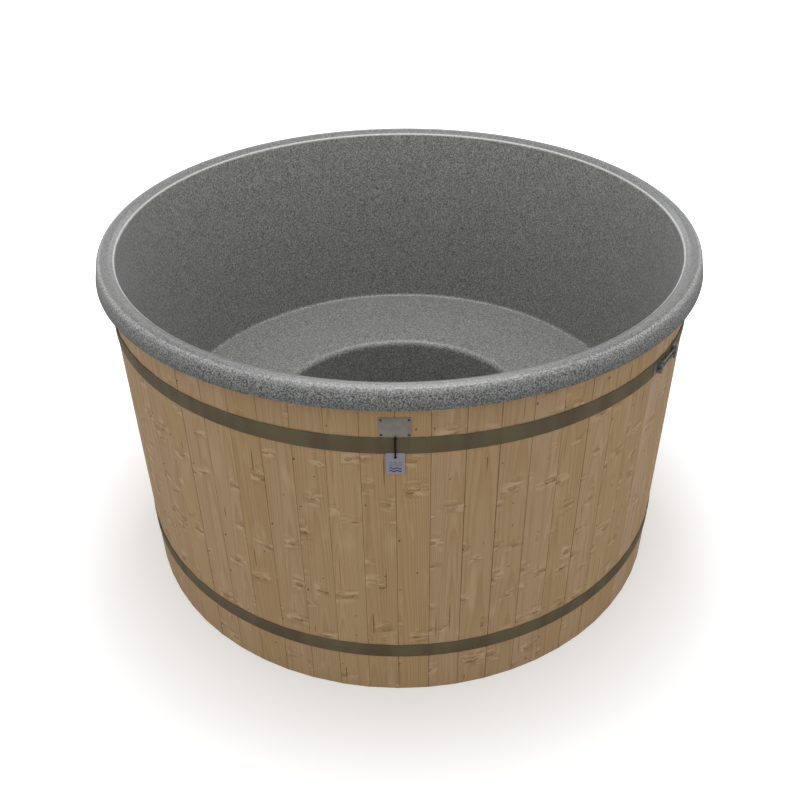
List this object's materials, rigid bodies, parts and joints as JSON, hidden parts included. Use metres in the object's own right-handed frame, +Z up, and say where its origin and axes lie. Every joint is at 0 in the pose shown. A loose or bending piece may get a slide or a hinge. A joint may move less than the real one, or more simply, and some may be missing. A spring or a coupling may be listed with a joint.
{
  "type": "hot tub",
  "caption": "Round hot tub with a moulded plastic bath and ring bench, clad in upright wooden staves held by two steel bands, with floor drain valve and heater connections.",
  "frame": {"origin": "on the floor, on the tub's centre line, under the middle bearer", "axes": "+Z up along the tub's centre line; -Y towards the nameplate, which is the front"},
  "size_m": [1.6828, 1.7826, 1],
  "materials": {
    "spruce": "matt, weathered",
    "granite_plastic": "satin, speckled grey",
    "band_steel": "satin",
    "closure_steel": "satin",
    "plate_steel": "satin",
    "screw_steel": "satin",
    "black_nail": "satin black",
    "black_cord": "matt black",
    "tag_card": "matt",
    "treated_timber": "sawn, green-tinted",
    "board": "sanded plywood",
    "foam": "matt foam",
    "stainless": "satin",
    "seal_rubber": "matt",
    "pipe_plastic": "satin grey",
    "valve_brass": "nickel-plated, satin",
    "ball_chrome": "polished",
    "seat_plastic": "satin white",
    "lever_steel": "zinc-plated",
    "lever_grip": "dipped red vinyl"
  },
  "bodies": {
    "tub": {"liner": "granite_plastic", "staves_01": "spruce", "staves_02": "spruce", "staves_03": "spruce", "staves_04": "spruce", "staves_05": "spruce", "staves_06": "spruce", "staves_07": "spruce", "staves_08": "spruce", "staves_09": "spruce", "staves_10": "spruce", "staves_11": "spruce", "staves_12": "spruce", "staves_13": "spruce", "staves_14": "spruce", "staves_15": "spruce", "staves_16": "spruce", "upper_band": "band_steel", "upper_band_brackets": "closure_steel", "upper_band_bolts": "closure_steel", "upper_band_nuts": "closure_steel", "lower_band": "band_steel", "lower_band_brackets": "closure_steel", "lower_band_bolts": "closure_steel", "lower_band_nuts": "closure_steel", "nameplate": "plate_steel", "nameplate_screws": "screw_steel", "tag_nail": "black_nail", "base_disc": "board", "base_bearers": "treated_timber", "base_screws": "screw_steel", "floor_insulation": "foam", "wall_insulation": "foam", "seat_ring": "board", "seat_posts": "board", "drain_flange": "stainless", "drain_grate": "stainless", "drain_screw": "screw_steel", "drain_gasket": "seal_rubber", "drain_body": "pipe_plastic", "drain_pipe": "pipe_plastic", "valve_body": "valve_brass", "valve_end_cap": "valve_brass", "valve_seats": "seat_plastic", "hose_nipple": "valve_brass", "lower_heater_spigot": "stainless", "lower_heater_guard": "stainless", "upper_heater_spigot": "stainless", "upper_heater_guard": "stainless", "heater_gaskets": "seal_rubber", "heater_screws": "screw_steel", "heater_rosettes": "seal_rubber"},
    "valve_handle": {"valve_ball": "ball_chrome", "valve_stem": "valve_brass", "valve_lever": "lever_steel", "valve_grip": "lever_grip", "valve_nut": "lever_steel"},
    "tag": {"tag_cord": "black_cord", "tag_knots": "black_cord", "tag": "tag_card"}
  },
  "joints": [
    {"name": "valve_turn", "type": "hinge", "parent": "tub", "child": "valve_handle", "pos_m": [-0.0424, 0.86299, 0.036], "axis": [0, 0, 1], "range_deg": [0, 90]},
    {"name": "tag_swing", "type": "hinge", "parent": "tub", "child": "tag", "pos_m": [0, -0.8133, 0.862], "axis": [0, -1, 0], "range_deg": [-85, 85]}
  ]
}
